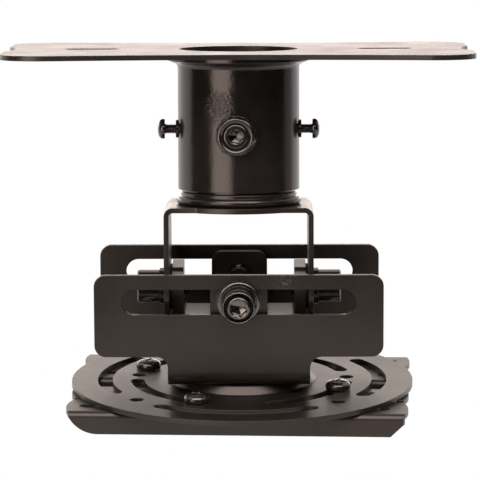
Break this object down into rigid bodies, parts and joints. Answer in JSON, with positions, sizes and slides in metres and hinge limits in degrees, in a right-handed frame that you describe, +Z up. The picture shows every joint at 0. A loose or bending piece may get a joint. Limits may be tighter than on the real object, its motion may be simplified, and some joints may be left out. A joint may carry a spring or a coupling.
{
  "type": "projector ceiling mount",
  "caption": "Projector ceiling mount: a slotted plate and tube carry a yoke that swivels, tilts and rolls, and a disc whose slotted arms reach out to the projector's screw points.",
  "frame": {"origin": "centre of the ceiling plate's top face, on the axis of the cable hole", "axes": "+Z up into the ceiling, +X to the right along the plate's length, +Y away from the front"},
  "size_m": [0.184, 0.1363, 0.1487],
  "materials": {
    "black_powder_coat": "satin powder coat with a fine orange peel",
    "black_fastener": "black-finished steel, glossier than the coat",
    "nylon_washer": "plain black nylon"
  },
  "bodies": {
    "ceiling": {"ceiling_plate": "black_powder_coat", "collar_tube": "black_powder_coat", "clamp_weld_nut": "black_powder_coat", "clamp_set_screw": "black_fastener", "lock_weld_nuts": "black_powder_coat", "lock_screw_left": "black_fastener", "lock_screw_right": "black_fastener"},
    "column": {"swivel_plug": "black_powder_coat", "u_bracket": "black_powder_coat"},
    "gimbal": {"gimbal_cross": "black_powder_coat", "tilt_screw_left": "black_fastener", "tilt_friction_washer_left": "nylon_washer", "tilt_spring_washer_left": "black_fastener", "tilt_screw_right": "black_fastener", "tilt_friction_washer_right": "nylon_washer", "tilt_spring_washer_right": "black_fastener"},
    "roll_carriage": {"roll_screw_front": "black_fastener", "roll_friction_washer_front": "nylon_washer", "roll_washer_front": "black_fastener", "roll_spring_washer_front": "black_fastener", "roll_screw_rear": "black_fastener", "roll_friction_washer_rear": "nylon_washer", "roll_washer_rear": "black_fastener", "roll_spring_washer_rear": "black_fastener"},
    "yoke": {"yoke": "black_powder_coat", "pivot_washer": "black_fastener", "pivot_lock_nut": "black_fastener"},
    "turntable": {"turntable_disc": "black_powder_coat", "pivot_bolt": "black_fastener"},
    "clamp_rear_outer": {"arm_screw_rear_outer": "black_fastener", "arm_washer_rear_outer": "black_fastener", "arm_nut_rear_outer": "black_fastener"},
    "arm_rear_outer": {"arm_rear_outer": "black_powder_coat"},
    "clamp_rear_inner": {"arm_screw_rear_inner": "black_fastener", "arm_washer_rear_inner": "black_fastener", "arm_nut_rear_inner": "black_fastener"},
    "arm_rear_inner": {"arm_rear_inner": "black_powder_coat"},
    "clamp_front_outer": {"arm_screw_front_outer": "black_fastener", "arm_washer_front_outer": "black_fastener", "arm_nut_front_outer": "black_fastener"},
    "arm_front_outer": {"arm_front_outer": "black_powder_coat"},
    "clamp_front_inner": {"arm_screw_front_inner": "black_fastener", "arm_washer_front_inner": "black_fastener", "arm_nut_front_inner": "black_fastener"},
    "arm_front_inner": {"arm_front_inner": "black_powder_coat"}
  },
  "joints": [
    {"name": "column_swivel", "type": "hinge", "parent": "ceiling", "child": "column", "pos_m": [0, 0, -0.04], "axis": [0, 0, 1], "continuous": true},
    {"name": "pitch", "type": "hinge", "parent": "column", "child": "gimbal", "pos_m": [0, 0, -0.0948], "axis": [1, 0, 0], "range_deg": [-20.8, 9.2]},
    {"name": "roll", "type": "hinge", "parent": "gimbal", "child": "roll_carriage", "pos_m": [0, 0, -0.0948], "axis": [0, 0.9949, 0.1011], "range_deg": [-15, 15]},
    {"name": "side_shift", "type": "slide", "parent": "roll_carriage", "child": "yoke", "axis": [1, 0, 0], "range_m": [-0.041, 0.041]},
    {"name": "disc_swivel", "type": "hinge", "parent": "yoke", "child": "turntable", "pos_m": [0.0011, 0.00384, -0.13261], "axis": [0, -0.1011, 0.9949], "continuous": true},
    {"name": "arm_swing_rear_outer", "type": "hinge", "parent": "turntable", "child": "clamp_rear_outer", "pos_m": [0.01872, 0.04198, -0.13084], "axis": [0, -0.1011, 0.9949], "range_deg": [-1.5, 1.5]},
    {"name": "arm_reach_rear_outer", "type": "slide", "parent": "clamp_rear_outer", "child": "arm_rear_outer", "axis": [-0.9988, 0.0486, 0.0049], "range_m": [-0.0067, 0.0432]},
    {"name": "arm_swing_rear_inner", "type": "hinge", "parent": "turntable", "child": "clamp_rear_inner", "pos_m": [-0.03703, 0.02158, -0.13291], "axis": [0, -0.1011, 0.9949], "range_deg": [-1.5, 1.5]},
    {"name": "arm_reach_rear_inner", "type": "slide", "parent": "clamp_rear_inner", "child": "arm_rear_inner", "axis": [0.9988, -0.0486, -0.0049], "range_m": [-0.0299, 0.02]},
    {"name": "arm_swing_front_outer", "type": "hinge", "parent": "turntable", "child": "clamp_front_outer", "pos_m": [-0.01652, -0.03388, -0.13855], "axis": [0, -0.1011, 0.9949], "range_deg": [-1.5, 1.5]},
    {"name": "arm_reach_front_outer", "type": "slide", "parent": "clamp_front_outer", "child": "arm_front_outer", "axis": [0.9988, -0.0486, -0.0049], "range_m": [-0.0067, 0.0432]},
    {"name": "arm_swing_front_inner", "type": "hinge", "parent": "turntable", "child": "clamp_front_inner", "pos_m": [0.03923, -0.01347, -0.13648], "axis": [0, -0.1011, 0.9949], "range_deg": [-1.5, 1.5]},
    {"name": "arm_reach_front_inner", "type": "slide", "parent": "clamp_front_inner", "child": "arm_front_inner", "axis": [-0.9988, 0.0486, 0.0049], "range_m": [-0.0299, 0.02]}
  ]
}
